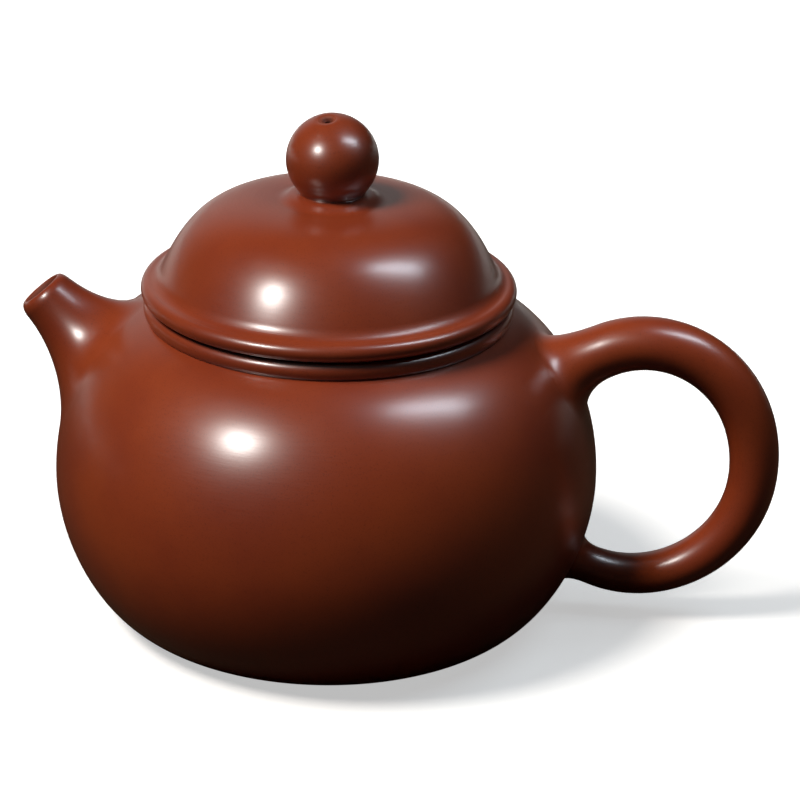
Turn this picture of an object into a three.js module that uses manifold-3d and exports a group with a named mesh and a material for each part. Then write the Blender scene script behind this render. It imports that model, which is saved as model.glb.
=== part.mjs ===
// Round clay teapot with a lift-off lid, in millimetres, +Z up.
// The origin is on the pot's own axis, at the table. The spout points to -X and the handle to +X.
// Each piece of clay that the potter joins is its own closed solid.

import * as THREE from 'three';
import { mergeVertices } from 'three/addons/utils/BufferGeometryUtils.js';
import Module from 'manifold-3d';

const wasm = await Module();
wasm.setup();

// Faces round each kind of piece, and steps along the curves

const potSides = 54;
const knobSides = 28;
const spoutSides = 26;
const handleSides = 14;
const strainerSides = 20;
const holeSides = 10;
const outlineSteps = 9;
const hollowSteps = 6;
const domeSteps = 10;
const knobSteps = 14;
const spoutSteps = 11;
const handleSteps = 46;
const edgeSteps = 4;

// Clay thickness and fits

const wall = 2.6;
const baseThickness = 2.8;
const clayGap = 0.3;
const lidSeatGap = 0.3;
const tongueClearance = 0.5;

// Belly and shoulder: an outline of two curves that meet at the widest ring

const bellyRadius = 42.5;
const bellyHeight = 22.5;
const footRadius = 29.8;
const footSpread = 5.8;
const fullnessBelow = 11;
const fullnessAbove = 12.7;
const shoulderHeight = 48.7;
const shoulderSlope = 17;
const shoulderSweep = 8.7;
const shoulderSeamDrop = 3.1;

// Mouth ring

const mouthRadius = 24.9;
const mouthRingWidth = 2.6;
const mouthRingHeight = 2.2;

// Spout: a lower and an upper line in the XZ plane, from the tip to the root on the wall

const spoutReach = 2.7;
const spoutTipRise = 0.8;
const spoutAngle = 50;
const spoutTipRadius = 4.4;
const spoutLipRounding = 0.6;
const spoutLowFlare = 4;
const spoutLowThroat = 6.5;
const spoutLowRootHeight = 26;
const spoutLowRootSweep = 6.5;
const spoutHighFlare = 8;
const spoutHighThroat = 4.5;
const spoutHighRootDrop = 1.1;
const spoutHighRootSlope = 10;
const spoutHighRootSweep = 4.1;
const spoutRootSink = 0.3;
const spoutRootWidening = 3.1;
const spoutBoreRadius = 2.8;
const portRadius = 5;

// Strainer: a domed cap with holes, inside the wall at the spout's port

const strainerRadius = 7.4;
const strainerThickness = 1.2;
const strainerSetBack = 2;
const strainerHoleRadius = 0.9;
const strainerHoleTilt = 33;
const strainerHoleCount = 6;

// Handle: two curves in the XZ plane that meet at its outermost point

const handleReach = 24.3;
const handleMidHeight = 26.5;
const handleTopRadius = 4.2;
const handleLowRadius = 2.95;
const handleTaperPower = 1.8;
const topRootHeight = 40.6;
const topRootAngle = 47;
const topRootSweep = 16.3;
const topBow = 18;
const lowRootHeight = 9.4;
const lowRootAngle = 32;
const lowRootSweep = 13.7;
const lowBow = 15;
const rootSink = 3;
const rootFlare = 1.4;
const rootFlareLength = 5;

// Lid: a dome that rises from a crease inside a slim rolled rim

const lidOverhang = 1.4;
const lidEdgeRadius = 1.2;
const lidEdgeLift = 1.4;
const lidEdgeTurn = 115;
const lidCreaseInset = 2.8;
const lidCreaseLift = 3.3;
const domeRise = 12.4;
const domeFootAngle = 66.5;
const domeFootSweep = 12.4;
const domeTopSweep = 7.8;
const tongueThickness = 2.4;
const tongueDepth = 5;
const tongueTaper = 0.4;

// Knob and the pad under it, which sit a little off the pot's axis, towards the handle

const knobSetOff = 0.25;
const collarRadius = 6.9;
const collarHeight = 1;
const collarMargin = 0.5;
const neckRadius = 4.4;
const neckHeight = 0.4;
const knobRadius = 7.05;
const knobLift = 5.2;
const knobDimpleRadius = 1.5;
const knobDimpleDepth = 0.7;
const ventRadius = 0.6;

// Outlines: a point is a radius from the pot's axis and a height above the table

const point = (radius, height) => new THREE.Vector2(radius, height);
const { degToRad, radToDeg, lerp, mapLinear } = THREE.MathUtils;

function toward(degrees, length) {
  return point(Math.cos(degToRad(degrees)), Math.sin(degToRad(degrees))).multiplyScalar(length);
}

function curve(start, startPull, endPull, end) {
  return new THREE.CubicBezierCurve(start, start.clone().add(startPull), end.clone().add(endPull), end);
}

function arc(centre, radius, fromDegrees, toDegrees, steps) {
  return Array.from({ length: steps + 1 }, (_, i) => {
    return toward(lerp(fromDegrees, toDegrees, i / steps), radius).add(centre);
  });
}

// The outline moved sideways: a positive distance goes outwards on an outline that rises

function offset(outline, distance) {
  return outline.map((here, i) => {
    const before = outline[Math.max(i - 1, 0)];
    const after = outline[Math.min(i + 1, outline.length - 1)];
    const along = after.clone().sub(before).normalize();
    return point(here.x + along.y * distance, here.y - along.x * distance);
  });
}

function radiusAt(outline, height) {
  const next = outline.findIndex((p, i) => i > 0 && p.y >= height && outline[i - 1].y <= height);
  const before = outline[next - 1];
  const after = outline[next];
  return mapLinear(height, before.y, after.y, before.x, after.x);
}

// The stretches of a rising outline above and below a height

function above(outline, height) {
  return [point(radiusAt(outline, height), height), ...outline.filter((p) => p.y > height)];
}

function below(outline, height) {
  return [...outline.filter((p) => p.y < height), point(radiusAt(outline, height), height)];
}

// Solids

function signedVolume(places, corners) {
  const vertex = (i) => new THREE.Vector3().fromArray(places, corners[i] * 3);
  let sum = 0;
  for (let i = 0; i < corners.length; i += 3) {
    sum += vertex(i).dot(vertex(i + 1).cross(vertex(i + 2))) / 6;
  }
  return sum;
}

function solid(geometry) {
  geometry.deleteAttribute('normal');
  geometry.deleteAttribute('uv');
  const merged = mergeVertices(geometry, 1e-4);
  const places = merged.attributes.position.array;
  const corners = [];
  for (let i = 0; i < merged.index.count; i += 3) {
    const [a, b, c] = merged.index.array.slice(i, i + 3);
    if (a !== b && b !== c && c !== a) corners.push(a, b, c);
  }
  if (signedVolume(places, corners) < 0) corners.reverse();
  const mesh = { numProp: 3, vertProperties: Float32Array.from(places), triVerts: Uint32Array.from(corners) };
  return new wasm.Manifold(new wasm.Mesh(mesh));
}

function turned(outline, sides) {
  return solid(new THREE.LatheGeometry(outline, sides).rotateX(Math.PI / 2));
}

// A closed skin through rings of points, with a flat cap on each end

function loft(rings) {
  const sides = rings[0].length;
  const last = (rings.length - 1) * sides;
  const faces = [];
  for (let start = 0; start < last; start += sides) {
    for (let j = 0; j < sides; j++) {
      const a = start + j;
      const b = start + (j + 1) % sides;
      faces.push(a, b, b + sides, a, b + sides, a + sides);
    }
  }
  for (let j = 1; j < sides - 1; j++) {
    faces.push(0, j + 1, j, last, last + j, last + j + 1);
  }
  const geometry = new THREE.BufferGeometry().setFromPoints(rings.flat());
  return solid(geometry.setIndex(faces));
}

// A round of points square to the XZ plane: across is a direction in that plane, reach its radius along Y

function ring(centre, across, radius, sides, reach = radius) {
  return Array.from({ length: sides }, (_, j) => {
    const angle = 2 * Math.PI * j / sides;
    const inPlane = centre.clone().addScaledVector(across, radius * Math.cos(angle));
    return new THREE.Vector3(inPlane.x, reach * Math.sin(angle), inPlane.y);
  });
}

const inSpace = (p) => new THREE.Vector3(p.x, 0, p.y);

// A round rod or cone from one point to another

function rod(start, end, startRadius, endRadius, sides) {
  const along = end.clone().sub(start);
  const geometry = new THREE.CylinderGeometry(endRadius, startRadius, along.length(), sides);
  geometry.translate(0, along.length() / 2, 0);
  const turn = new THREE.Quaternion().setFromUnitVectors(new THREE.Vector3(0, 1, 0), along.normalize());
  return solid(geometry.applyQuaternion(turn).translate(start.x, start.y, start.z));
}

function ball(centre, radius, sides) {
  return solid(new THREE.SphereGeometry(radius, sides, sides / 2).translate(centre.x, centre.y, centre.z));
}

// Outline of the pot, from the foot's edge to the mouth ring, and of its hollow

const shoulderRadius = mouthRadius + mouthRingWidth;
const widest = point(bellyRadius, bellyHeight);
const shoulderTop = point(shoulderRadius, shoulderHeight);
const seamHeight = shoulderHeight - shoulderSeamDrop;
const lowerCurve = curve(point(footRadius, 0), point(footSpread, 0), point(0, -fullnessBelow), widest);
const upperCurve = curve(widest, point(0, fullnessAbove), toward(-shoulderSlope, shoulderSweep), shoulderTop);
const outlineWith = (steps) => [...lowerCurve.getPoints(steps), ...upperCurve.getPoints(steps).slice(1)];
const potOutline = outlineWith(outlineSteps);
const hollowOutline = offset(outlineWith(hollowSteps), -wall);

// A full form inside an outline: it cuts what is set against the wall

function fullForm(outline) {
  const [first, last] = [outline[0], outline[outline.length - 1]];
  return turned([point(0, first.y), ...outline, point(0, last.y)], potSides);
}

function makeBaseDisc() {
  return fullForm(below(potOutline, baseThickness));
}

function makeBellyWall() {
  const outside = below(above(potOutline, baseThickness), seamHeight);
  const inside = below(above(hollowOutline, baseThickness), seamHeight).reverse();
  return turned([...outside, ...inside, outside[0]], potSides).subtract(spoutBore);
}

function makeShoulderDisc() {
  const outside = above(potOutline, seamHeight);
  const inside = above(hollowOutline, seamHeight).reverse();
  const lip = [point(mouthRadius, shoulderHeight), point(mouthRadius, inside[0].y)];
  return turned([...outside, ...lip, ...inside, outside[0]], potSides);
}

function makeMouthRing() {
  const half = mouthRingHeight / 2;
  const bead = arc(point(shoulderRadius, shoulderHeight + half), half, -90, 90, edgeSteps + 2);
  const inside = [point(mouthRadius, shoulderHeight + mouthRingHeight), point(mouthRadius, shoulderHeight)];
  return turned([...bead, ...inside, bead[0]], potSides);
}

// Spout: circles between its lower and upper lines, cut by the pot's form, with a widening bore

const spoutTip = point(-bellyRadius - spoutReach, shoulderHeight + spoutTipRise);
const spoutDown = toward(-spoutAngle, 1);
const spoutAcross = toward(90 - spoutAngle, 1);
const alongSpout = (distance) => spoutTip.clone().addScaledVector(spoutDown, distance);

// Distance along the spout's axis to where it meets an outline of the wall, found by halving

function spoutMeets(outline) {
  const halvings = 30;
  let near = 0;
  let far = (spoutTip.y - bellyHeight) / Math.sin(degToRad(spoutAngle));
  for (let i = 0; i < halvings; i++) {
    const middle = alongSpout((near + far) / 2);
    if (-middle.x > radiusAt(outline, middle.y)) near = (near + far) / 2;
    else far = (near + far) / 2;
  }
  return near;
}

const portDistance = spoutMeets(hollowOutline);
const boreRadiusAt = (distance) => mapLinear(distance, 0, portDistance, spoutBoreRadius, portRadius);
const boreEnds = [-spoutTipRadius, portDistance + wall];
const spoutBore = rod(...boreEnds.map(alongSpout).map(inSpace), ...boreEnds.map(boreRadiusAt), spoutSides);

function spoutLine(side, throat, rootHeight, rootPull) {
  const start = alongSpout(spoutLipRounding).addScaledVector(spoutAcross, side * spoutTipRadius);
  const root = point(spoutRootSink - radiusAt(potOutline, rootHeight), rootHeight);
  return curve(start, throat, rootPull, root).getPoints(spoutSteps);
}

function makeSpout() {
  const lowThroat = toward(-spoutAngle - spoutLowFlare, spoutLowThroat);
  const highThroat = toward(-spoutAngle + spoutHighFlare, spoutHighThroat);
  const highRootHeight = shoulderHeight - spoutHighRootDrop;
  const highRootPull = toward(180 + spoutHighRootSlope, spoutHighRootSweep);
  const lower = spoutLine(-1, lowThroat, spoutLowRootHeight, point(0, spoutLowRootSweep));
  const upper = spoutLine(1, highThroat, highRootHeight, highRootPull);
  const lip = ring(spoutTip, spoutAcross, spoutTipRadius - spoutLipRounding, spoutSides);
  const rings = lower.map((low, i) => {
    const across = upper[i].clone().sub(low);
    const centre = low.clone().addScaledVector(across, 0.5);
    const radius = across.length() / 2;
    const reach = radius + spoutRootWidening * (i / spoutSteps) ** 2;
    return ring(centre, across.normalize(), radius, spoutSides, reach);
  });
  const potWithGap = fullForm(offset(potOutline, clayGap));
  return loft([lip, ...rings]).subtract(potWithGap).subtract(spoutBore);
}

// Strainer: a thin cap cut from a ball, standing into the pot round the port

function makeStrainer() {
  const centre = inSpace(alongSpout(portDistance - strainerSetBack));
  const inward = inSpace(spoutDown);
  const shell = ball(centre, strainerRadius, strainerSides)
    .subtract(ball(centre, strainerRadius - strainerThickness, strainerSides));
  const hollowWithGap = fullForm(offset(hollowOutline, -clayGap));
  const tilted = inward.clone().applyAxisAngle(new THREE.Vector3(0, 1, 0), degToRad(strainerHoleTilt));
  const directions = Array.from({ length: strainerHoleCount }, (_, i) => {
    return tilted.clone().applyAxisAngle(inward, 2 * Math.PI * i / strainerHoleCount);
  });
  return [inward, ...directions].reduce((cap, direction) => {
    const end = centre.clone().addScaledVector(direction, strainerRadius + strainerThickness);
    return cap.subtract(rod(centre, end, strainerHoleRadius, strainerHoleRadius, holeSides));
  }, shell.intersect(hollowWithGap));
}

// Handle: circles along its route, which tapers downwards and flares a little into the wall

function makeHandle() {
  const outermost = point(bellyRadius + handleReach, handleMidHeight);
  const topRoot = point(radiusAt(potOutline, topRootHeight), topRootHeight);
  const lowRoot = point(radiusAt(potOutline, lowRootHeight), lowRootHeight);
  const route = new THREE.CurvePath();
  route.add(new THREE.LineCurve(toward(topRootAngle, -rootSink).add(topRoot), topRoot));
  route.add(curve(topRoot, toward(topRootAngle, topRootSweep), point(0, topBow), outermost));
  route.add(curve(outermost, point(0, -lowBow), toward(-lowRootAngle, lowRootSweep), lowRoot));
  route.add(new THREE.LineCurve(lowRoot, toward(-lowRootAngle, -rootSink).add(lowRoot)));
  const length = route.getLength();
  const rings = Array.from({ length: handleSteps + 1 }, (_, i) => {
    const along = i / handleSteps;
    const fromRoot = Math.abs(length / 2 - Math.abs(length * along - length / 2) - rootSink);
    const flare = rootFlare * Math.max(1 - fromRoot / rootFlareLength, 0) ** 2;
    const radius = lerp(handleTopRadius, handleLowRadius, along ** handleTaperPower) + flare;
    const forward = route.getTangent(along);
    return ring(route.getPoint(along), point(-forward.y, forward.x), radius, handleSides);
  });
  return loft(rings).subtract(fullForm(offset(potOutline, clayGap)));
}

// Lid: its heights follow the mouth ring that it rests on

const lidBase = shoulderHeight + mouthRingHeight + lidSeatGap;
const lidRadius = shoulderRadius + lidOverhang;
const lidCrease = point(lidRadius - lidCreaseInset, lidBase + lidCreaseLift);
const domeTop = point(collarRadius + knobSetOff + collarMargin, lidCrease.y + domeRise);
const domeFootPull = toward(180 - domeFootAngle, domeFootSweep);
const domeCurve = curve(lidCrease, domeFootPull, point(domeTopSweep, 0), domeTop);
const domeOutline = domeCurve.getPoints(domeSteps);
const domeHollow = above(offset(domeCurve.getPoints(hollowSteps), -wall), lidCrease.y);
const tongueRadius = mouthRadius - tongueClearance;
const tongueBore = tongueRadius - tongueThickness;

function makeLidDome() {
  const outside = [...domeOutline, point(0, domeTop.y)];
  const inside = [point(0, domeTop.y - wall), ...domeHollow.toReversed()];
  const ventEnds = [lidCrease.y, domeTop.y + wall].map((height) => inSpace(point(knobSetOff, height)));
  const vent = rod(...ventEnds, ventRadius, ventRadius, knobSides);
  return turned([...outside, ...inside, outside[0]], potSides).subtract(vent);
}

function makeLidRim() {
  const edgeCentre = point(lidRadius - lidEdgeRadius, lidBase + lidEdgeLift);
  const edge = arc(edgeCentre, lidEdgeRadius, -90, lidEdgeTurn, 2 * edgeSteps);
  const seat = [point(tongueBore, lidBase), point(tongueRadius, lidBase)];
  return turned([...edge, lidCrease, domeHollow[0], ...seat, edge[0]], potSides);
}

function makeLidTongue() {
  const end = lidBase - tongueDepth;
  const outside = [point(tongueRadius - tongueTaper, end), point(tongueRadius, end + 2 * tongueTaper)];
  const inside = [point(tongueBore, end + 2 * tongueTaper), point(tongueBore + tongueTaper, end)];
  const top = [point(tongueRadius, lidBase), point(tongueBore, lidBase)];
  return turned([...outside, ...top, ...inside, outside[0]], potSides);
}

const collarTop = domeTop.y + collarHeight;

function makeKnobCollar() {
  const half = collarHeight / 2;
  const edge = arc(point(collarRadius - half, domeTop.y + half), half, -90, 90, edgeSteps);
  const vent = [point(ventRadius, collarTop), point(ventRadius, domeTop.y)];
  return turned([...edge, ...vent, edge[0]], knobSides).translate(knobSetOff, 0, 0);
}

function makeKnob() {
  const centre = point(0, collarTop + knobLift);
  const fromDegrees = -radToDeg(Math.asin((knobLift - neckHeight) / knobRadius));
  const toDegrees = radToDeg(Math.acos(knobDimpleRadius / knobRadius));
  const round = arc(centre, knobRadius, fromDegrees, toDegrees, knobSteps);
  const dimpleFloor = round[round.length - 1].y - knobDimpleDepth;
  const vent = [point(ventRadius, dimpleFloor), point(ventRadius, collarTop)];
  const neck = point(neckRadius, collarTop);
  return turned([neck, ...round, ...vent, neck], knobSides).translate(knobSetOff, 0, 0);
}

// The teapot: each piece is a mesh with its own clay material

function piece(name, form, colour, roughness) {
  const mesh = form.getMesh();
  const geometry = new THREE.BufferGeometry();
  geometry.setAttribute('position', new THREE.BufferAttribute(Float32Array.from(mesh.vertProperties), 3));
  geometry.setIndex(new THREE.BufferAttribute(Uint32Array.from(mesh.triVerts), 1));
  geometry.computeVertexNormals();
  const clay = new THREE.MeshStandardMaterial({ color: colour, roughness, metalness: 0 });
  const result = new THREE.Mesh(geometry, clay);
  result.name = name;
  return result;
}

const polishedClay = [0x7f3319, 0.32];
const plainClay = [0x74351f, 0.6];

const pot = new THREE.Group();
pot.add(piece('base_disc', makeBaseDisc(), ...plainClay));
pot.add(piece('belly_wall', makeBellyWall(), ...polishedClay));
pot.add(piece('shoulder_disc', makeShoulderDisc(), ...polishedClay));
pot.add(piece('mouth_ring', makeMouthRing(), ...polishedClay));
pot.add(piece('spout', makeSpout(), ...polishedClay));
pot.add(piece('strainer', makeStrainer(), ...plainClay));
pot.add(piece('handle', makeHandle(), ...polishedClay));

const lid = new THREE.Group();
lid.add(piece('lid_dome', makeLidDome(), ...polishedClay));
lid.add(piece('lid_rim', makeLidRim(), ...polishedClay));
lid.add(piece('lid_tongue', makeLidTongue(), ...plainClay));
lid.add(piece('knob_collar', makeKnobCollar(), ...polishedClay));
lid.add(piece('knob', makeKnob(), ...polishedClay));

const teapot = new THREE.Group();
teapot.add(pot, lid);

export default teapot;
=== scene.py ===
# A small round clay teapot, burnished and unglazed: the finished surfaces of its twelve pieces of clay.
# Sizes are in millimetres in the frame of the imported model: +Z up, the spout towards -X, the handle
# towards +X. Angles are in degrees.

import math

import bpy
import numpy as np
from mathutils import Matrix, Quaternion, Vector


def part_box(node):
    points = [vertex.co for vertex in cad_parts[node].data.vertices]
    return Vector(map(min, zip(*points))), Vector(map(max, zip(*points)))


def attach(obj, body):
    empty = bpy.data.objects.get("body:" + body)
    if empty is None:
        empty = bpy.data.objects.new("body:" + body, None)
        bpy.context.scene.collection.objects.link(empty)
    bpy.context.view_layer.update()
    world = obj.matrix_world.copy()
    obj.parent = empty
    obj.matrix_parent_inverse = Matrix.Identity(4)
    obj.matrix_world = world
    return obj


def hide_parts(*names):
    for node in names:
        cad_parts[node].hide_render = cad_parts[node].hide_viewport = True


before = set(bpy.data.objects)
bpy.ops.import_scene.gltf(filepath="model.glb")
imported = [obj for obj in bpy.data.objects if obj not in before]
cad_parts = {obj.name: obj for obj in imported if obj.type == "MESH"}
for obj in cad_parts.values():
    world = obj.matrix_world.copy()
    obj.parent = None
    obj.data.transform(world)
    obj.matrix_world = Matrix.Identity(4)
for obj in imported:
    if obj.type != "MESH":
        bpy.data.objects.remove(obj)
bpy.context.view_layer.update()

MM = 0.001
scene = bpy.context.scene


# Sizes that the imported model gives: a node's radius is its half width across the pot

def low_corner(node):
    return np.array(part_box(node)[0]) / MM


def high_corner(node):
    return np.array(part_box(node)[1]) / MM


belly_radius = high_corner("belly_wall")[1]
base_thickness = high_corner("base_disc")[2]
seam_height = low_corner("shoulder_disc")[2]
shoulder_height = low_corner("mouth_ring")[2]
ring_height = high_corner("mouth_ring")[2] - shoulder_height
lid_base = low_corner("lid_rim")[2]
lid_radius = high_corner("lid_rim")[1]
crease_radius = high_corner("lid_dome")[1]
crease_height = low_corner("lid_dome")[2]
dome_height = high_corner("lid_dome")[2]
tongue_radius = high_corner("lid_tongue")[1]
tongue_end = low_corner("lid_tongue")[2]
collar_radius = high_corner("knob_collar")[1]
collar_top = high_corner("knob_collar")[2]
knob_radius = high_corner("knob")[1]
knob_set_off = high_corner("knob")[0] - knob_radius
handle_reach = high_corner("handle")[0]

# Clay thickness, and how the maker's tool softens edges and joins: each join is a length along the surface

wall = 2.6
edge_softness = 0.35
corner_pull = 0.6
ring_join = 1.3
crease_join = 1.4
collar_join = 1.7
knob_join = 0.9
wall_sink = 0.3
wall_bite = 1.2

# Belly, shoulder and mouth

belly_height = 22.5
foot_radius = 29.8
foot_spread = 5.8
fullness_below = 11
fullness_above = 12.7
shoulder_slope = 17
shoulder_sweep = 8.7
mouth_radius = 24.9
shoulder_radius = 27.5
bead_swell = 0.2
bead_sink = 0.3
bead_squeeze = 0.78

# Spout: its ribs run from the lip to a landing on the wall, and top and low name its two sides

spout_reach = 2.7
spout_rise = 0.8
spout_angle = 50
tip_radius = 4.4
lip_outer_rounding = 1.1
lip_outer_length = 2.1
lip_inner_rounding = 0.5
lip_inner_length = 1.5
top_flare = 14
top_throat = 3.6
top_sweep = 5.2
top_landing = 48.4
low_flare = 1.5
low_throat = 6.5
low_sweep = 5.6
low_landing = 27.5
landing_half_width = 12.6
bore_radius = 2.8
port_radius = 5

# Strainer

strainer_radius = 7.4
strainer_thickness = 1.2
strainer_set_back = 2
strainer_hole_radius = 0.9
strainer_hole_tilt = 33
strainer_hole_count = 6

# Handle: each root flows out onto the wall in a landing, wider on the loop's inner side

handle_mid_height = 26.5
handle_mid_radius = 3.8
handle_top_radius = 4.2
handle_low_radius = 2.95
handle_taper_power = 1.8
top_root_height = 40.6
top_root_angle = 47
top_root_sweep = 16.3
top_bow = 18
low_root_height = 9.4
low_root_angle = 32
low_root_sweep = 13.7
low_bow = 15
top_landing_start = 7
top_landing_outer = 2.7
top_landing_inner = 5.5
low_landing_start = 3.6
low_landing_outer = 1.9
low_landing_inner = 2.4
landing_start_pull = 0.45
landing_end_pull = 0.6
landing_reach = 3

# Lid and knob: the vent's side is seen from above, where 0 is the handle's side and -90 the front

lid_edge_radius = 1.4
lid_edge_lift = 1.5
lid_edge_turn = 115
crease_fill = 0.1
dome_foot_angle = 66.5
dome_foot_sweep = 12
dome_top_sweep = 9
dome_flat_margin = 0.5
tongue_thickness = 2.4
tongue_rounding = 0.6
knob_lift = 5.2
neck_radius = 4.4
neck_height = 0.4
dimple_radius = 1.5
dimple_depth = 0.8
dish_start_pull = (-0.8, -0.35)
dish_end_pull = (0.25, 0.35)
vent_radius = 0.6
vent_lean = 14
vent_side = -30

# Fineness of the meshes

round_steps = 240
curve_steps = 48
arc_steps = 14
join_steps = 10
flat_steps = 6
spout_sides = 112
spout_steps = 56
bore_steps = 11
back_steps = 4
polished_lip_steps = 4
handle_sides = 80
handle_steps = 200
rod_sides = 48
ball_sides = 96
ball_rings = 48
drill_sides = 32
sharp_angle = 32
all_inside = 0.9
same_place = 1e-4
closest_points = 0.02
slope_step = 0.1
halvings = 40
landing_passes = 6

# Floor and room: the floor's starts and ends are in belly radii

backdrop_side = (-0.35, 0.9, 0.26)
floor_white_start = 4
floor_white_end = 16
room_white_start = 0.74
room_white_end = 1.4
floor_white = "#dddcda"
floor_dull = "#36281f"
floor_glow = 0.5
floor_glow_start = 1
floor_glow_end = 6
floor_half_width = 3000
room_colour = "#c8b6a8"
room_strength = 0.02


# Outlines: rows of (radius from the axis, height), from the bottom up

def at(radius, height):
    return np.array([radius, height], float)


def toward(degrees, length=1.0):
    angle = math.radians(degrees)
    return at(math.cos(angle), math.sin(angle)) * length


def bezier(start, start_pull, end_pull, end, steps):
    """Points on a cubic curve. The ends may be single points or rows of them, which gives rows of curves."""
    start, end = np.asarray(start, float), np.asarray(end, float)
    first, second = start + start_pull, end + end_pull
    t = np.linspace(0, 1, steps + 1).reshape([-1] + [1] * start.ndim)
    return ((1 - t) ** 3 * start + 3 * (1 - t) ** 2 * t * first
            + 3 * (1 - t) * t ** 2 * second + t ** 3 * end)


def arc(centre, radius, start, end, steps=arc_steps):
    return np.array([centre + toward(a, radius) for a in np.linspace(start, end, steps + 1)])


def straight(start, end, steps=flat_steps):
    return np.linspace(start, end, steps + 1)


def joined(*lines):
    """One line through several, without doubled points."""
    points = np.vstack(lines)
    apart = np.linalg.norm(np.diff(points, axis=0), axis=1) > same_place
    return points[np.concatenate([[True], apart])]


def lengths(line):
    return np.concatenate([[0], np.cumsum(np.linalg.norm(np.diff(line, axis=0), axis=1))])


def trimmed(line, start=0.0, end=0.0):
    """The line without a length at its start and at its end."""
    along = lengths(line)
    low, high = start, along[-1] - end
    inside = (along > low + closest_points) & (along < high - closest_points)
    places = np.concatenate([[low], along[inside], [high]])
    return np.column_stack([np.interp(places, along, line[:, k]) for k in range(line.shape[1])])


def softened(first, second, reach):
    """Two lines that meet at a corner, as one line with the corner rounded over reach on each side."""
    first, second = trimmed(first, end=reach), trimmed(second, start=reach)
    leave = first[-1] - first[-2]
    arrive = second[0] - second[1]
    pull = corner_pull * reach
    turn = bezier(first[-1], leave / np.linalg.norm(leave) * pull,
                  arrive / np.linalg.norm(arrive) * pull, second[0], join_steps)
    return joined(first, turn, second)


def offset(line, distance):
    """The line moved sideways: a positive distance goes outwards on an outline that rises."""
    along = np.gradient(line, axis=0)
    along /= np.linalg.norm(along, axis=1)[:, None]
    return line + np.column_stack([along[:, 1], -along[:, 0]]) * distance


def radius_at(line, height):
    return np.interp(height, line[:, 1], line[:, 0])


def above(line, height):
    return joined([at(radius_at(line, height), height)], line[line[:, 1] > height])


def below(line, height):
    return joined(line[line[:, 1] < height], [at(radius_at(line, height), height)])


widest = at(belly_radius, belly_height)
shoulder_top = at(shoulder_radius, shoulder_height)
pot_outline = joined(
    bezier(at(foot_radius, 0), at(foot_spread, 0), at(0, -fullness_below), widest, curve_steps),
    bezier(widest, at(0, fullness_above), toward(-shoulder_slope, shoulder_sweep), shoulder_top, curve_steps))
hollow_outline = offset(pot_outline, -wall)


# Meshes: made in millimetres, brought to metres when a piece is finished

def faces_outwards(mesh):
    corners = np.zeros(len(mesh.loops), np.int32)
    mesh.loops.foreach_get("vertex_index", corners)
    mesh.calc_loop_triangles()
    triangles = np.zeros(len(mesh.loop_triangles) * 3, np.int32)
    mesh.loop_triangles.foreach_get("vertices", triangles)
    places = np.zeros(len(mesh.vertices) * 3)
    mesh.vertices.foreach_get("co", places)
    a, b, c = (places.reshape(-1, 3)[triangles.reshape(-1, 3)[:, k]] for k in range(3))
    return (a * np.cross(b, c)).sum() > 0


def mesh_from(name, points, faces):
    mesh = bpy.data.meshes.new(name)
    mesh.from_pydata([tuple(p) for p in points], [], faces)
    if not faces_outwards(mesh):
        mesh.flip_normals()
    return mesh


def skin(name, rings, cap_ends):
    """A closed mesh through rings of points. Its ends are capped, or else its last ring joins the first."""
    count, sides = rings.shape[:2]
    points = rings.reshape(-1, 3)
    faces = []
    for i in range(count - 1 if cap_ends else count):
        here, after = i * sides, (i + 1) % count * sides
        for j in range(sides):
            k = (j + 1) % sides
            faces.append((here + j, here + k, after + k, after + j))
    if cap_ends:
        faces += [tuple(range(sides))[::-1], tuple(range((count - 1) * sides, count * sides))]
    return mesh_from(name, points, faces)


def boolean(mesh, operation, other):
    """The mesh cut by another one, or what the two share."""
    target = bpy.data.objects.new("target", mesh)
    tool = bpy.data.objects.new("tool", other)
    scene.collection.objects.link(target)
    scene.collection.objects.link(tool)
    modifier = target.modifiers.new("cut", "BOOLEAN")
    modifier.operation = operation
    modifier.solver = "MANIFOLD"
    modifier.object = tool
    made = bpy.data.meshes.new_from_object(target.evaluated_get(bpy.context.evaluated_depsgraph_get()))
    bpy.data.objects.remove(target)
    bpy.data.objects.remove(tool)
    return made


def rod(start, end, start_radius, end_radius, sides=rod_sides):
    """A round rod or cone from one point to another."""
    along = Vector(end) - Vector(start)
    turn = along.to_track_quat("Z", "Y").to_matrix()
    angles = np.linspace(0, 2 * math.pi, sides, endpoint=False)
    circle = np.column_stack([np.cos(angles), np.sin(angles), np.zeros(sides)]) @ np.array(turn).T
    rings = np.array([circle * start_radius + start, circle * end_radius + end])
    return skin("rod", rings, cap_ends=True)


# Node trees

def add(tree, kind, links=None, **settings):
    """Adds a node with its own settings. Links give its inputs a value or another node's output."""
    made = tree.nodes.new(kind)
    for name, value in settings.items():
        setattr(made, name, value)
    for key, value in (links or {}).items():
        if isinstance(value, bpy.types.NodeSocket):
            tree.links.new(value, made.inputs[key])
        else:
            made.inputs[key].default_value = value
    return made


def geometry_tree(name, inputs):
    """A tree with a geometry input and output, and the named inputs given as {name: kind}."""
    tree = bpy.data.node_groups.new(name, "GeometryNodeTree")
    tree.interface.new_socket("Geometry", in_out="INPUT", socket_type="NodeSocketGeometry")
    for label, kind in inputs.items():
        tree.interface.new_socket(label, in_out="INPUT", socket_type=kind)
    tree.interface.new_socket("Geometry", in_out="OUTPUT", socket_type="NodeSocketGeometry")
    return tree, tree.nodes.new("NodeGroupInput").outputs, tree.nodes.new("NodeGroupOutput").inputs


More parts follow.
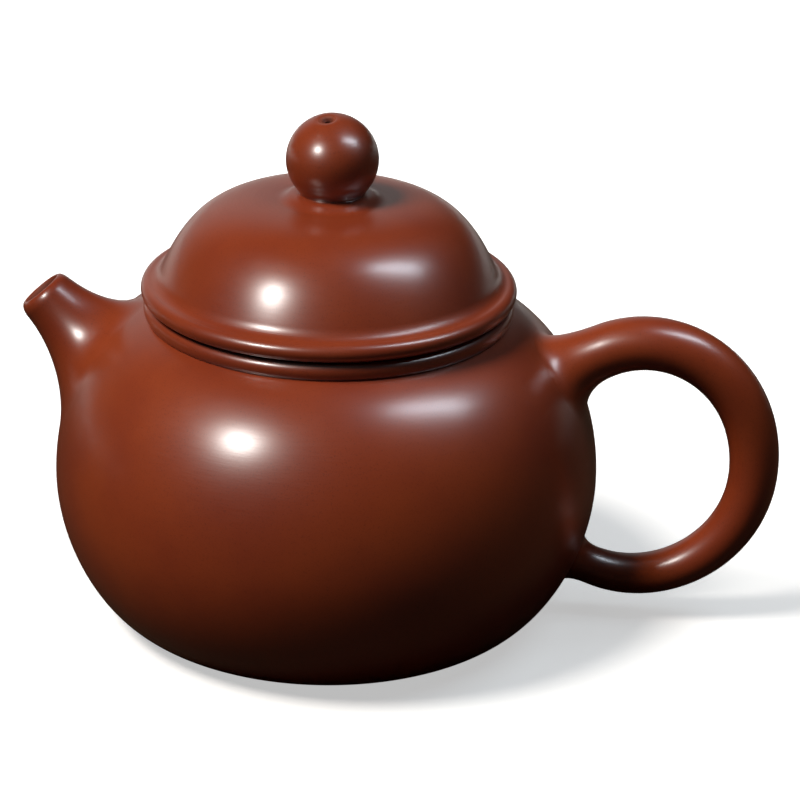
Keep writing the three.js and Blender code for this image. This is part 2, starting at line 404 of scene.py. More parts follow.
def made_by(tree, mesh, values):
    """The plain mesh that a tree makes of another mesh, with its named inputs set."""
    maker = bpy.data.objects.new(mesh.name, mesh)
    scene.collection.objects.link(maker)
    modifier = maker.modifiers.new("make", "NODES")
    modifier.node_group = tree
    for item in tree.interface.items_tree:
        if item.in_out == "INPUT" and item.name in values:
            modifier[item.identifier] = values[item.name]
    made = bpy.data.meshes.new_from_object(maker.evaluated_get(bpy.context.evaluated_depsgraph_get()))
    maker.modifiers.remove(modifier)
    bpy.data.objects.remove(maker)
    if not faces_outwards(made):
        made.flip_normals()
    return made


def turning_tree():
    """Turns an outline round the Z axis, then sets it off along X. X is its radius and Y its height."""
    tree, given, result = geometry_tree("turned form", {
        "Steps Round": "NodeSocketInt",
        "Path Radius": "NodeSocketFloat",
        "Set Off": "NodeSocketFloat",
        "Polished": "NodeSocketMaterial",
        "Plain": "NodeSocketMaterial",
    })
    path = add(tree, "GeometryNodeCurvePrimitiveCircle",
               {"Resolution": given["Steps Round"], "Radius": given["Path Radius"]})
    outline = add(tree, "GeometryNodeMeshToCurve", {"Mesh": given["Geometry"]})
    back = add(tree, "ShaderNodeMath", {0: 0.0, 1: given["Path Radius"]}, operation="SUBTRACT")
    inwards = add(tree, "ShaderNodeCombineXYZ", {"X": back.outputs[0]})
    drawn = add(tree, "GeometryNodeTransform",
                {"Geometry": outline.outputs[0], "Translation": inwards.outputs[0], "Scale": (1, -1, 1)})
    swept = add(tree, "GeometryNodeCurveToMesh",
                {"Curve": path.outputs[0], "Profile Curve": drawn.outputs[0]})
    closed = add(tree, "GeometryNodeMergeByDistance", {"Geometry": swept.outputs[0], "Distance": same_place})
    aside = add(tree, "ShaderNodeCombineXYZ", {"X": given["Set Off"]})
    placed = add(tree, "GeometryNodeTransform",
                 {"Geometry": closed.outputs[0], "Translation": aside.outputs[0]})
    smooth = add(tree, "GeometryNodeSetShadeSmooth", {"Geometry": placed.outputs[0]})
    real = add(tree, "GeometryNodeRealizeInstances", {"Geometry": smooth.outputs[0]})
    polished = add(tree, "GeometryNodeSetMaterial",
                   {"Geometry": real.outputs[0], "Material": given["Polished"]})
    inside = add(tree, "GeometryNodeInputNamedAttribute", {"Name": "inside"}, data_type="FLOAT")
    hidden = add(tree, "FunctionNodeCompare", {"A": inside.outputs[0], "B": all_inside},
                 operation="GREATER_THAN")
    both = add(tree, "GeometryNodeSetMaterial",
               {"Geometry": polished.outputs[0], "Selection": hidden.outputs[0], "Material": given["Plain"]})
    tree.links.new(both.outputs[0], result[0])
    return tree


def turned(name, outside, inside=None, set_off=0.0):
    """A turned piece. Its outline closes on itself if it has an inside stretch, and otherwise on the axis."""
    line = outside if inside is None else joined(outside, inside)
    mesh = bpy.data.meshes.new(name)
    count = len(line)
    edges = [(i, i + 1) for i in range(count - 1) if line[i][0] > 0 or line[i + 1][0] > 0]
    if line[0][0] > 0 or line[-1][0] > 0:
        edges.append((count - 1, 0))
    mesh.from_pydata([(p[0], p[1], 0) for p in line], edges, [])
    marks = mesh.attributes.new("inside", "FLOAT", "POINT")
    marks.data.foreach_set("value", (np.arange(count) >= len(outside)).astype(np.float32))
    return made_by(turning, mesh, {
        "Steps Round": round_steps, "Path Radius": belly_radius, "Set Off": set_off,
        "Polished": polished_clay, "Plain": plain_clay})


# Materials: the patterns in the clay, by the size of their features

stroke_length = 3.2
stroke_width = 0.16
grain_size = 0.22
cloud_size = 16
hand_size = 11


def linear(colour):
    """An sRGB hex colour as linear red, green, blue and alpha."""
    values = [int(colour[i:i + 2], 16) / 255 for i in (1, 3, 5)]
    return [v / 12.92 if v <= 0.04045 else ((v + 0.055) / 1.055) ** 2.4 for v in values] + [1.0]


def per(size):
    """The scale of a pattern whose features are this many millimetres apart."""
    return 1 / (size * MM)


def stroke_coordinates(tree, along, across):
    """Object coordinates for marks that are long round the pot and close together up its outline."""
    place = add(tree, "ShaderNodeTexCoord").outputs["Object"]
    parts = add(tree, "ShaderNodeSeparateXYZ", {0: place})
    flat = add(tree, "ShaderNodeCombineXYZ", {"X": parts.outputs["X"], "Y": parts.outputs["Y"]})
    radius = add(tree, "ShaderNodeVectorMath", {0: flat.outputs[0]}, operation="LENGTH")
    climb = add(tree, "ShaderNodeMath",
                {0: parts.outputs["Z"], 1: radius.outputs["Value"]}, operation="SUBTRACT")
    rise = add(tree, "ShaderNodeMath", {0: climb.outputs[0], 1: along / across}, operation="MULTIPLY")
    return add(tree, "ShaderNodeCombineXYZ", {
        "X": parts.outputs["X"], "Y": parts.outputs["Y"], "Z": rise.outputs[0]}).outputs[0]


def clay(name, body, warm, deep, roughness, spread, coat, stroke_depth, grain_depth, hand_depth):
    """Fired red stoneware. Body, warm and deep are its colours, and the depths are those of its relief."""
    material = bpy.data.materials.new(name)
    material.use_nodes = True
    tree = material.node_tree
    shader = tree.nodes["Principled BSDF"]
    place = add(tree, "ShaderNodeTexCoord").outputs["Object"]
    strokes = add(tree, "ShaderNodeTexNoise", {
        "Vector": stroke_coordinates(tree, stroke_length, stroke_width),
        "Scale": per(stroke_length), "Detail": 3.0})
    grain = add(tree, "ShaderNodeTexNoise", {"Vector": place, "Scale": per(grain_size), "Detail": 2.0})
    cloud = add(tree, "ShaderNodeTexNoise", {"Vector": place, "Scale": per(cloud_size), "Detail": 3.0})
    hand = add(tree, "ShaderNodeTexNoise", {"Vector": place, "Scale": per(hand_size), "Detail": 1.0})

    shift = add(tree, "ShaderNodeMapRange", {
        "Value": cloud.outputs[0], "From Min": 0.35, "From Max": 0.65, "To Min": 0.0, "To Max": 1.0})
    toned = add(tree, "ShaderNodeMix", {
        "Factor": shift.outputs[0], "A": linear(body), "B": linear(warm)}, data_type="RGBA")
    speck = add(tree, "ShaderNodeMapRange", {
        "Value": grain.outputs[0], "From Min": 0.56, "From Max": 0.72, "To Min": 0.0, "To Max": 0.5})
    speckled = add(tree, "ShaderNodeMix", {
        "Factor": speck.outputs[0], "A": toned.outputs["Result"], "B": linear(deep)}, data_type="RGBA")
    tree.links.new(speckled.outputs["Result"], shader.inputs["Base Color"])

    gloss = add(tree, "ShaderNodeMapRange", {
        "Value": strokes.outputs[0], "From Min": 0.3, "From Max": 0.7,
        "To Min": roughness - spread, "To Max": roughness + spread})
    tree.links.new(gloss.outputs[0], shader.inputs["Roughness"])

    formed = add(tree, "ShaderNodeBump", {"Height": hand.outputs[0], "Distance": hand_depth * MM})
    rubbed = add(tree, "ShaderNodeBump", {
        "Height": strokes.outputs[0], "Distance": stroke_depth * MM, "Normal": formed.outputs[0]})
    grained = add(tree, "ShaderNodeBump", {
        "Height": grain.outputs[0], "Distance": grain_depth * MM, "Normal": rubbed.outputs[0]})
    tree.links.new(grained.outputs[0], shader.inputs["Normal"])
    tree.links.new(rubbed.outputs[0], shader.inputs["Coat Normal"])
    shader.inputs["IOR"].default_value = 1.45
    shader.inputs["Coat Weight"].default_value = coat
    shader.inputs["Coat Roughness"].default_value = 0.28
    shader.inputs["Coat IOR"].default_value = 1.5
    return material


# Unglazed red stoneware, rubbed with horn when leather-hard and then by use: a satin, waxy gloss
polished_clay = clay("burnished_red_stoneware", body="#83331a", warm="#8f3b1b", deep="#5c2010",
                     roughness=0.36, spread=0.04, coat=1.0,
                     stroke_depth=0.004, grain_depth=0.003, hand_depth=0.05)

# The same clay where no tool rubs it: matt, with the drag of a wet cloth and an open grain
plain_clay = clay("wiped_red_stoneware", body="#7a3620", warm="#87412a", deep="#59281a",
                  roughness=0.68, spread=0.06, coat=0.0,
                  stroke_depth=0.03, grain_depth=0.02, hand_depth=0.12)

turning = turning_tree()


# Turned pieces of the pot

def make_base_disc():
    rise = below(pot_outline, base_thickness)
    underside = straight(at(0, 0), rise[0])
    top = straight(rise[-1], at(0, base_thickness))
    return turned("base_disc", joined(underside, rise, top))


def make_belly_wall():
    outside = below(above(pot_outline, base_thickness), seam_height)
    inside = below(above(hollow_outline, base_thickness), seam_height)[::-1]
    return boolean(turned("belly_wall", outside, inside), "DIFFERENCE", spout_bore())


def make_shoulder_disc():
    outside = above(pot_outline, seam_height)
    hollow = above(hollow_outline, seam_height)[::-1]
    lip = straight(at(mouth_radius, shoulder_height), at(mouth_radius, hollow[0][1]), steps=2)
    return turned("shoulder_disc", outside, joined(lip, hollow))


def make_mouth_ring():
    half = ring_height / 2 + bead_swell
    bead = arc(at(shoulder_radius, shoulder_height + half - bead_sink), half, -90, 90, 2 * arc_steps)
    bead[:, 0] = shoulder_radius + (bead[:, 0] - shoulder_radius) * bead_squeeze
    foot = below(above(pot_outline, shoulder_height - 3 * ring_join), bead[0][1])
    bead[0] = foot[-1]
    joint = trimmed(softened(foot, bead, ring_join), start=lengths(foot)[-1] - ring_join)
    top = straight(bead[-1], at(mouth_radius, bead[-1][1]), steps=3)
    bore = straight(top[-1], at(mouth_radius, shoulder_height), steps=3)
    skin_line = softened(joined(joint, top), bore, edge_softness)
    seat = straight(at(mouth_radius, shoulder_height), shoulder_top, steps=2)
    return turned("mouth_ring", skin_line, seat)


# The wall's surface, for what is joined to it

def up_plane(p):
    """A point or direction of the XZ plane, given as (x, z), in space."""
    return np.array([p[0], 0.0, p[1]])


def over_wall(points, sunk=0.0):
    """How far out points lie from the wall's surface, or from a surface sunk below it, measured level."""
    line = pot_outline if sunk == 0 else offset(pot_outline, -sunk)
    return np.hypot(points[..., 0], points[..., 1]) - radius_at(line, points[..., 2])


def wall_normals(points):
    heights = points[..., 2]
    rise = radius_at(pot_outline, heights + slope_step) - radius_at(pot_outline, heights - slope_step)
    slope = rise / (2 * slope_step)
    radius = np.hypot(points[..., 0], points[..., 1])
    normals = np.stack([points[..., 0] / radius, points[..., 1] / radius, -slope], axis=-1)
    return normals / np.linalg.norm(normals, axis=-1, keepdims=True)


def onto_wall(points):
    """Points close to the wall, moved onto it along its normals."""
    for _ in range(landing_passes):
        normals = wall_normals(points)
        level = np.hypot(normals[..., 0], normals[..., 1])
        points = points - normals * (over_wall(points) * level)[..., None]
    return points


def meet_wall(starts, along, reach, sunk=0.0):
    """Where lines from outside the wall reach it, found by halving."""
    near, far = np.zeros(len(starts)), np.full(len(starts), float(reach))
    for _ in range(halvings):
        middle = (near + far) / 2
        outside = over_wall(starts + along * middle[:, None], sunk) > 0
        near, far = np.where(outside, middle, near), np.where(outside, far, middle)
    return starts + along * near[:, None]


def along_surface(directions, normals):
    """Directions laid flat onto a surface."""
    flat = directions - normals * (directions * normals).sum(axis=-1, keepdims=True)
    return flat / np.linalg.norm(flat, axis=-1, keepdims=True)


# Spout

spout_tip = at(-belly_radius - spout_reach, shoulder_height + spout_rise)
spout_down = up_plane(toward(-spout_angle))
spout_across = up_plane(toward(90 - spout_angle))
sideways = np.array([0.0, 1.0, 0.0])


def along_spout(distance):
    return up_plane(spout_tip) + spout_down * distance


port_distance = np.linalg.norm(
    meet_wall(along_spout(0)[None], spout_down[None], 30, sunk=wall)[0] - along_spout(0))


def bore_radius_at(distance):
    return bore_radius + (port_radius - bore_radius) * distance / port_distance


def spout_bore():
    start, end = port_distance - 2 * wall, port_distance + wall
    return rod(along_spout(start), along_spout(end),
               bore_radius_at(start), bore_radius_at(end), spout_sides)


def make_spout():
    angles = np.linspace(0, 2 * math.pi, spout_sides, endpoint=False)[:, None]
    outward = spout_across * np.cos(angles) + sideways * np.sin(angles)
    lowness = (1 - np.cos(angles)) / 2

    crest = bore_radius_at(0) + lip_inner_rounding
    inner_lip = [along_spout(lip_inner_length * (1 - math.sin(a)))
                 + outward * (crest - lip_inner_rounding * math.cos(a))
                 for a in np.linspace(0, math.pi / 2, arc_steps)]
    flare = np.radians(top_flare + (low_flare - top_flare) * lowness)
    outer = tip_radius - lip_outer_rounding
    last = np.arctan2(lip_outer_rounding, lip_outer_length * np.tan(flare))
    outer_lip = [along_spout(0) + spout_down * lip_outer_length * (1 - np.cos(a * last))
                 + outward * (outer + lip_outer_rounding * np.sin(a * last))
                 for a in np.linspace(0, 1, arc_steps)]

    middle = (top_landing + low_landing) / 2
    heights = middle + (top_landing - low_landing) / 2 * np.cos(angles[:, 0])
    across = landing_half_width * np.sin(angles[:, 0])
    radius = radius_at(pot_outline, heights)
    landing = np.column_stack([-np.sqrt(radius ** 2 - across ** 2), across, heights])
    normals = wall_normals(landing)
    centre = np.array([-radius_at(pot_outline, middle), 0, middle])
    inwards = along_surface(centre - landing, normals)
    throat_pull = top_throat + (low_throat - top_throat) * lowness
    throat = (spout_down * np.cos(flare) + outward * np.sin(flare)) * throat_pull
    sweep = inwards * (top_sweep + (low_sweep - top_sweep) * lowness)
    ribs = bezier(outer_lip[-1], throat, sweep, landing, spout_steps)

    sunk = landing - normals * wall_sink
    bore_along = spout_down * port_distance + outward * (port_radius - bore_radius)
    bore_along /= np.linalg.norm(bore_along, axis=1)[:, None]
    bore_start = along_spout(0) + outward * bore_radius
    bore_end = meet_wall(bore_start, bore_along, 2 * port_distance, sunk=wall_bite)
    first = inner_lip[0]
    bore = [bore_end + (first - bore_end) * t for t in np.linspace(0, 1, bore_steps + 1)[:-1]]
    back = [sunk + (bore_end - sunk) * t for t in np.linspace(0, 1, back_steps + 1)[:-1]]
    rings = np.array([*bore, *inner_lip, *outer_lip[1:], *ribs[1:], *back])
    mesh = skin("spout", rings, cap_ends=False)
    mesh.materials.append(polished_clay)
    mesh.materials.append(plain_clay)
    plain_rows = np.zeros(len(rings), np.int32)
    plain_rows[:len(bore) + arc_steps - polished_lip_steps] = 1
    plain_rows[-len(back):] = 1
    mesh.polygons.foreach_set("material_index", np.repeat(plain_rows, spout_sides))
    return mesh


# Strainer: a cap of a thin ball round the port, pierced by one hole in the middle and a ring of others

def strainer_tree():
    tree, given, result = geometry_tree("pierced ball", {
        "Radius": "NodeSocketFloat",
        "Thickness": "NodeSocketFloat",
        "Hole Radius": "NodeSocketFloat",
        "Hole Tilt": "NodeSocketFloat",
        "Hole Count": "NodeSocketInt",
        "Clay": "NodeSocketMaterial",
    })
    bore = add(tree, "ShaderNodeMath", {0: given["Radius"], 1: given["Thickness"]}, operation="SUBTRACT")
    outer = add(tree, "GeometryNodeMeshUVSphere",
                {"Segments": ball_sides, "Rings": ball_rings, "Radius": given["Radius"]})
    inner = add(tree, "GeometryNodeMeshUVSphere",
                {"Segments": ball_sides, "Rings": ball_rings, "Radius": bore.outputs[0]})
    shell = add(tree, "GeometryNodeMeshBoolean", {"Mesh 1": outer.outputs[0], "Mesh 2": inner.outputs[0]},
                operation="DIFFERENCE", solver="MANIFOLD")
    reach = add(tree, "ShaderNodeMath", {0: given["Radius"], 1: 2.0}, operation="MULTIPLY")
    drill = add(tree, "GeometryNodeMeshCylinder", {
        "Vertices": drill_sides, "Radius": given["Hole Radius"], "Depth": reach.outputs[0]})
    lift = add(tree, "ShaderNodeCombineXYZ", {"Z": given["Radius"]})
    standing = add(tree, "GeometryNodeTransform",
                   {"Geometry": drill.outputs[0], "Translation": lift.outputs[0]})
    points = add(tree, "GeometryNodePoints", {"Count": given["Hole Count"]})
    index = add(tree, "GeometryNodeInputIndex")
    share = add(tree, "ShaderNodeMath", {0: index.outputs[0], 1: given["Hole Count"]}, operation="DIVIDE")
    turn = add(tree, "ShaderNodeMath", {0: share.outputs[0], 1: 2 * math.pi}, operation="MULTIPLY")
    euler = add(tree, "ShaderNodeCombineXYZ", {"X": given["Hole Tilt"], "Z": turn.outputs[0]})
    rotation = add(tree, "FunctionNodeEulerToRotation", {0: euler.outputs[0]})
    ring = add(tree, "GeometryNodeInstanceOnPoints", {
        "Points": points.outputs[0], "Instance": standing.outputs[0], "Rotation": rotation.outputs[0]})
    drills = add(tree, "GeometryNodeJoinGeometry")
    tree.links.new(ring.outputs[0], drills.inputs[0])
    tree.links.new(standing.outputs[0], drills.inputs[0])
    real_drills = add(tree, "GeometryNodeRealizeInstances", {"Geometry": drills.outputs[0]})
    pierced = add(tree, "GeometryNodeMeshBoolean",
                  {"Mesh 1": shell.outputs[0], "Mesh 2": real_drills.outputs[0]},
                  operation="DIFFERENCE", solver="MANIFOLD")
    smooth = add(tree, "GeometryNodeSetShadeSmooth", {"Geometry": pierced.outputs[0]})
    real = add(tree, "GeometryNodeRealizeInstances", {"Geometry": smooth.outputs[0]})
    finished = add(tree, "GeometryNodeSetMaterial", {"Geometry": real.outputs[0], "Material": given["Clay"]})
    tree.links.new(finished.outputs[0], result[0])
    return tree


def make_strainer():
    ball = made_by(strainer_tree(), bpy.data.meshes.new("strainer"), {
        "Radius": strainer_radius, "Thickness": strainer_thickness, "Hole Radius": strainer_hole_radius,
        "Hole Tilt": math.radians(strainer_hole_tilt), "Hole Count": strainer_hole_count, "Clay": plain_clay})
    centre = along_spout(port_distance - strainer_set_back)
    turn = Vector(spout_down).to_track_quat("Z", "Y").to_matrix().to_4x4()
    ball.transform(Matrix.Translation(centre) @ turn)
    core = offset(pot_outline, -wall_bite)
    core = core[(core[:, 1] > base_thickness) & (core[:, 1] < shoulder_height - wall_bite)]
    floor_line = straight(at(0, core[0][1]), core[0], steps=2)
    roof_line = straight(core[-1], at(0, core[-1][1]), steps=2)
    return boolean(ball, "INTERSECT", turned("core", joined(floor_line, core, roof_line)))


# Handle: circles along its route, with a fillet at each root that lands on the wall

def handle_route():
    top_root = at(radius_at(pot_outline, top_root_height), top_root_height)
    low_root = at(radius_at(pot_outline, low_root_height), low_root_height)
    outermost = at(handle_reach - handle_mid_radius, handle_mid_height)
    return joined(
        bezier(top_root, toward(top_root_angle, top_root_sweep), at(0, top_bow), outermost, handle_steps),
        bezier(outermost, at(0, -low_bow), toward(-low_root_angle, low_root_sweep), low_root, handle_steps))


def landing_rings(ring, before, outer, inner):
    """A fillet from a handle's end ring, which lands flat on the wall, wider on the loop's inner side."""
    turn = np.linspace(0, 2 * math.pi, len(ring), endpoint=False)[:, None]
    spread = outer + (inner - outer) * (1 - np.cos(turn)) / 2
    along = (ring - before) / np.linalg.norm(ring - before, axis=1)[:, None]
    meets = meet_wall(ring, along, landing_reach * inner)
    outward = along_surface(meets - meets.mean(axis=0), wall_normals(meets))
    landing = onto_wall(meets + outward * spread)
    normals = wall_normals(landing)
    outward = along_surface(outward, normals)
    straight_run = np.linalg.norm(meets - ring, axis=1)[:, None]
    ribs = bezier(ring, along * (straight_run - landing_start_pull * spread),
                  -outward * landing_end_pull * spread, landing, 3 * join_steps)
    return [*ribs[1:], landing - normals * wall_sink]


def make_handle():
    route = handle_route()
    length = lengths(route)[-1]
    middle = trimmed(route, top_landing_start, low_landing_start)
    along = np.gradient(middle, axis=0)
    along /= np.linalg.norm(along, axis=1)[:, None]
    share = (lengths(middle) + top_landing_start) / length
    thickness = handle_top_radius + (handle_low_radius - handle_top_radius) * share ** handle_taper_power
    angles = np.linspace(0, 2 * math.pi, handle_sides, endpoint=False)[:, None]
    rings = []
    for place, ahead, radius in zip(middle, along, thickness):
        circle = up_plane([-ahead[1], ahead[0]]) * np.cos(angles) + sideways * np.sin(angles)
        rings.append(up_plane(place) + radius * circle)
    top = landing_rings(rings[0], rings[1], top_landing_outer, top_landing_inner)
    low = landing_rings(rings[-1], rings[-2], low_landing_outer, low_landing_inner)
    mesh = skin("handle", np.array([*top[::-1], *rings, *low]), cap_ends=True)
    mesh.materials.append(polished_clay)
    return mesh


# Turned pieces of the lid: its whole outline is one line, from which each piece takes its stretch

lid_crease = at(crease_radius + crease_fill, crease_height - crease_fill)
lid_edge = arc(at(lid_radius - lid_edge_radius, lid_base + lid_edge_lift), lid_edge_radius,
               -90, lid_edge_turn, 4 * arc_steps)
dome_flat = at(collar_radius + knob_set_off + dome_flat_margin, dome_height)
dome_curve = bezier(lid_crease, toward(180 - dome_foot_angle, dome_foot_sweep), at(dome_top_sweep, 0),
                    dome_flat, curve_steps)
lid_outline = softened(joined(lid_edge, [lid_crease]), dome_curve, crease_join)
crease_split = int(np.argmin(np.linalg.norm(lid_outline - lid_crease, axis=1)))
dome_hollow = above(offset(dome_curve, -wall), crease_height)[::-1]
tongue_bore = tongue_radius - tongue_thickness


def make_lid_rim():
    outside = lid_outline[:crease_split + 1]
    seam = straight(outside[-1], dome_hollow[-1], steps=2)
    slope = straight(dome_hollow[-1], at(tongue_bore, lid_base))
    seat = straight(at(tongue_bore, lid_base), at(tongue_radius, lid_base))
    underside = straight(seat[-1], outside[0])
    return turned("lid_rim", outside, joined(seam[1:], slope, seat, underside[:-1]))


def make_lid_dome():
    skin_line = joined(lid_outline[crease_split:], straight(dome_flat, at(0, dome_height)))
    hollow_top = dome_hollow[0]
    under = joined(straight(at(0, hollow_top[1]), hollow_top), dome_hollow)
    vent = rod(up_plane([knob_set_off, crease_height]), up_plane([knob_set_off, dome_height + wall]),
               vent_radius, vent_radius)
    return boolean(turned("lid_dome", skin_line, under), "DIFFERENCE", vent)


def make_lid_tongue():
    outside = straight(at(tongue_radius, tongue_end), at(tongue_radius, lid_base))
    end = straight(at(tongue_bore, tongue_end), at(tongue_radius, tongue_end), steps=2)
    bore = straight(at(tongue_bore, lid_base), at(tongue_bore, tongue_end))
    line = softened(softened(bore, end, tongue_rounding), outside, tongue_rounding)
    return turned("lid_tongue", line[:1], line[1:])


def make_knob_collar():
    landing = at(collar_radius + collar_join, dome_height)
    swell = at(collar_radius - collar_join, collar_top)
    fillet = bezier(landing, at(-collar_join, 0), at(collar_join, 0), swell, 2 * join_steps)
    top = straight(swell, at(vent_radius, collar_top), steps=8)
    seat = straight(at(vent_radius, dome_height), landing, steps=4)
    return turned("knob_collar", joined(fillet, top), seat[:-1], set_off=knob_set_off)


def make_knob():
    centre = at(0, collar_top + knob_lift)
    start = -math.degrees(math.asin((knob_lift - neck_height) / knob_radius))
    end = math.degrees(math.acos(dimple_radius / knob_radius))
    ball = arc(centre, knob_radius, start, end, 5 * arc_steps)
    foot = straight(at(neck_radius + 2 * knob_join, collar_top), at(neck_radius, collar_top))
    joint = softened(foot, ball, knob_join)
    dimple_floor = ball[-1][1] - dimple_depth
    dish = bezier(ball[-1], at(*dish_start_pull), at(*dish_end_pull),
                  at(vent_radius, dimple_floor), join_steps)
    line = softened(trimmed(joint, start=knob_join), dish, 2 * edge_softness)
    vent = straight(at(vent_radius, dimple_floor), at(vent_radius, collar_top), steps=8)
    rim = int(np.argmax((line[:, 0] < dimple_radius) & (line[:, 1] > centre[1])))
    mesh = turned("knob", line[:rim + 1], joined(line[rim + 1:], vent[1:]), set_off=knob_set_off)
    lean_vent(mesh, Vector((knob_set_off, 0, centre[1])))
    return mesh


def lean_vent(mesh, centre):
    """The dimple is pricked by hand, a little off the ball's top: the clay above the centre turns with it."""
    axis = Vector((math.cos(math.radians(vent_side)), math.sin(math.radians(vent_side)), 0))
    for vertex in mesh.vertices:
        share = max((vertex.co.z - centre.z) / knob_radius, 0) ** 2
        vertex.co = Quaternion(axis, math.radians(vent_lean) * share) @ (vertex.co - centre) + centre


# The finished pieces

def finish_piece(mesh, node, body):
    """Puts a mesh into the scene, in metres, as the piece that stands for a CAD node."""
    mesh.name = node
    mesh.transform(Matrix.Scale(MM, 4))
    mesh.shade_smooth()
    mesh.set_sharp_from_angle(angle=math.radians(sharp_angle))
    made = bpy.data.objects.new("clay_" + node, mesh)
    scene.collection.objects.link(made)
    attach(made, body)
    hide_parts(node)


finish_piece(make_base_disc(), "base_disc", "pot")
finish_piece(make_belly_wall(), "belly_wall", "pot")
finish_piece(make_shoulder_disc(), "shoulder_disc", "pot")
finish_piece(make_mouth_ring(), "mouth_ring", "pot")
finish_piece(make_spout(), "spout", "pot")
finish_piece(make_strainer(), "strainer", "pot")
finish_piece(make_handle(), "handle", "pot")
finish_piece(make_lid_dome(), "lid_dome", "lid")
finish_piece(make_lid_rim(), "lid_rim", "lid")
finish_piece(make_lid_tongue(), "lid_tongue", "lid")
finish_piece(make_knob_collar(), "knob_collar", "lid")
finish_piece(make_knob(), "knob", "lid")


# Floor and room: white to the camera and where the clay mirrors the backdrop, and dull to all other rays

def backdrop_shows(tree, coordinates, start, end):
    """1 for camera rays, and for mirrored and clear ones that go to the backdrop's side; 0 for the rest."""
    rays = add(tree, "ShaderNodeLightPath")
    mirrored = add(tree, "ShaderNodeMath", {
        0: rays.outputs["Is Glossy Ray"], 1: rays.outputs["Is Transmission Ray"]}, operation="MAXIMUM")
    back = add(tree, "ShaderNodeVectorMath", {0: coordinates, 1: backdrop_side}, operation="DOT_PRODUCT")
    beyond = add(tree, "ShaderNodeMapRange", {
        "Value": back.outputs["Value"], "From Min": start, "From Max": end}, interpolation_type="SMOOTHSTEP")
    there = add(tree, "ShaderNodeMath", {0: mirrored.outputs[0], 1: beyond.outputs[0]}, operation="MULTIPLY")
    return add(tree, "ShaderNodeMath",
               {0: rays.outputs["Is Camera Ray"], 1: there.outputs[0]}, operation="MAXIMUM")


def make_floor():
    material = bpy.data.materials.new("matt_white_paper")
    material.use_nodes = True
    tree = material.node_tree
    tree.nodes.clear()
    place = add(tree, "ShaderNodeTexCoord").outputs["Object"]
    radius = belly_radius * MM
    seen = backdrop_shows(tree, place, floor_white_start * radius, floor_white_end * radius)
    colour = add(tree, "ShaderNodeMix", {
        "Factor": seen.outputs[0], "A": linear(floor_dull), "B": linear(floor_white)}, data_type="RGBA")
    paper = add(tree, "ShaderNodeBsdfDiffuse", {"Color": colour.outputs["Result"]})
    rays = add(tree, "ShaderNodeLightPath")
    away = add(tree, "ShaderNodeVectorMath", {0: place}, operation="LENGTH")
    whiter = add(tree, "ShaderNodeMapRange", {
        "Value": away.outputs["Value"],
        "From Min": floor_glow_start * radius, "From Max": floor_glow_end * radius,
        "To Min": floor_glow, "To Max": 1.0})
    glow = add(tree, "ShaderNodeMath",
               {0: rays.outputs["Is Camera Ray"], 1: whiter.outputs[0]}, operation="MULTIPLY")
    lit = add(tree, "ShaderNodeEmission", {"Color": linear("#ffffff"), "Strength": glow.outputs[0]})
    both = add(tree, "ShaderNodeAddShader", {0: paper.outputs[0], 1: lit.outputs[0]})
    output = add(tree, "ShaderNodeOutputMaterial")
    tree.links.new(both.outputs[0], output.inputs["Surface"])
    half = floor_half_width * MM
    corners = [(-half, -half, 0), (half, -half, 0), (half, half, 0), (-half, half, 0)]
    mesh = bpy.data.meshes.new("floor")
    mesh.from_pydata(corners, [], [(0, 1, 2, 3)])
    mesh.materials.append(material)
    floor = bpy.data.objects.new("floor", mesh)
    scene.collection.objects.link(floor)


def make_world():
    world = bpy.data.worlds.new("studio")
    world.use_nodes = True
    tree = world.node_tree
    tree.nodes.clear()
    view = add(tree, "ShaderNodeTexCoord").outputs["Generated"]
    seen = backdrop_shows(tree, view, room_white_start, room_white_end)
    dim = add(tree, "ShaderNodeBackground", {"Color": linear(room_colour), "Strength": room_strength})
    white = add(tree, "ShaderNodeBackground", {"Color": linear("#ffffff"), "Strength": 1.0})
    mixed = add(tree, "ShaderNodeMixShader", {0: seen.outputs[0], 1: dim.outputs[0], 2: white.outputs[0]})
    output = add(tree, "ShaderNodeOutputWorld")
    tree.links.new(mixed.outputs[0], output.inputs["Surface"])
    scene.world = world


make_floor()
make_world()


# Lamps, by the direction they come from: azimuth 0 is the front, 90 the handle's side

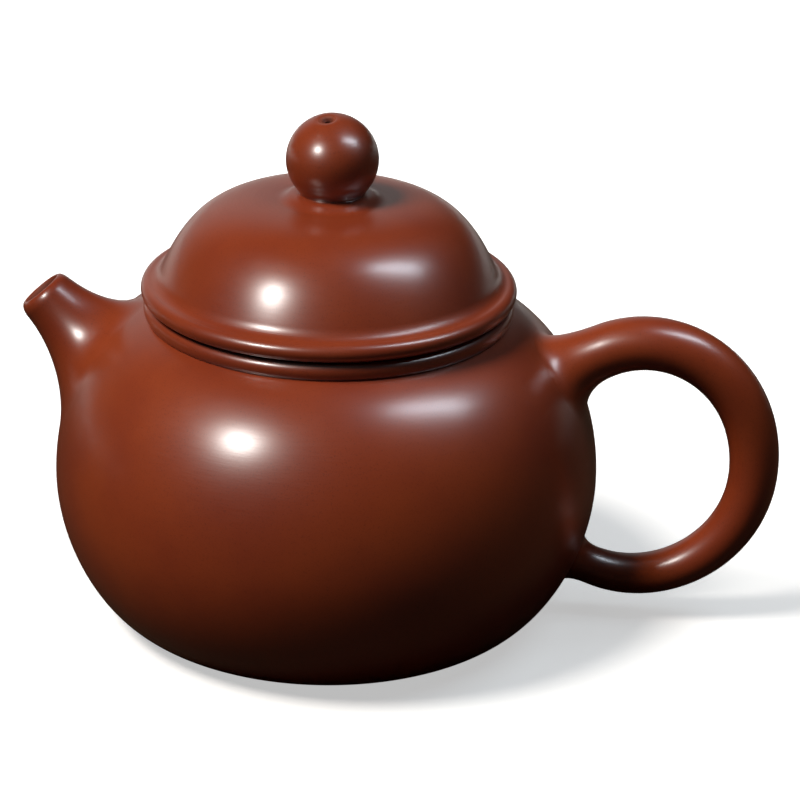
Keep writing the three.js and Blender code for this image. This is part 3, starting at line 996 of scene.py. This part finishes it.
def direction(azimuth, elevation):
    a, e = math.radians(azimuth), math.radians(elevation)
    return Vector((math.sin(a) * math.cos(e), -math.cos(a) * math.cos(e), math.sin(e)))


def lamp(kind, name, azimuth, elevation, energy, colour,
         distance=1.0, turn=0.0, soft=True, mirrored=True, **shape):
    made = bpy.data.lights.new(name, kind)
    made.energy = energy
    made.color = linear(colour)[:3]
    for key, value in shape.items():
        setattr(made, key, value)
    holder = bpy.data.objects.new(name, made)
    scene.collection.objects.link(holder)
    toward_lamp = direction(azimuth, elevation)
    holder.rotation_mode = "QUATERNION"
    rolled = Quaternion((0, 0, 1), math.radians(turn))
    holder.rotation_quaternion = toward_lamp.to_track_quat("Z", "Y") @ rolled
    holder.location = toward_lamp * distance + Vector((0, 0, shoulder_height * MM))
    holder.visible_diffuse = soft
    holder.visible_glossy = mirrored


# The key and the window are seen only as mirrored highlights, and the sky and the side give only soft light
lamp("AREA", "key", azimuth=-37.5, elevation=38, energy=0.95, colour="#fffdf8",
     distance=0.35, soft=False, shape="DISK", size=0.042)
lamp("SUN", "sky", azimuth=-62, elevation=57, energy=3.45, colour="#fffaf4",
     mirrored=False, angle=math.radians(20))
lamp("AREA", "window", azimuth=79, elevation=53, energy=0.22, colour="#e0f2ff",
     distance=0.225, turn=-50, soft=False, shape="RECTANGLE", size=0.11, size_y=0.03)
lamp("SUN", "side", azimuth=100, elevation=66, energy=0.65, colour="#e0f2ff",
     mirrored=False, angle=math.radians(30))


# Camera, at the photograph's place: found from the teapot's outline

camera_distance = 400
camera_azimuth = 7
camera_height = 204.4
camera_turn = (66.894, -1.251, 5.914)
focal_length = 125
sensor_width = 36

camera = bpy.data.objects.new("camera", bpy.data.cameras.new("camera"))
scene.collection.objects.link(camera)
camera.data.lens = focal_length
camera.data.sensor_width = sensor_width
camera.location = direction(camera_azimuth, 0) * camera_distance * MM + Vector((0, 0, camera_height * MM))
camera.rotation_euler = [math.radians(a) for a in camera_turn]
scene.camera = camera
scene.view_settings.view_transform = "Standard"
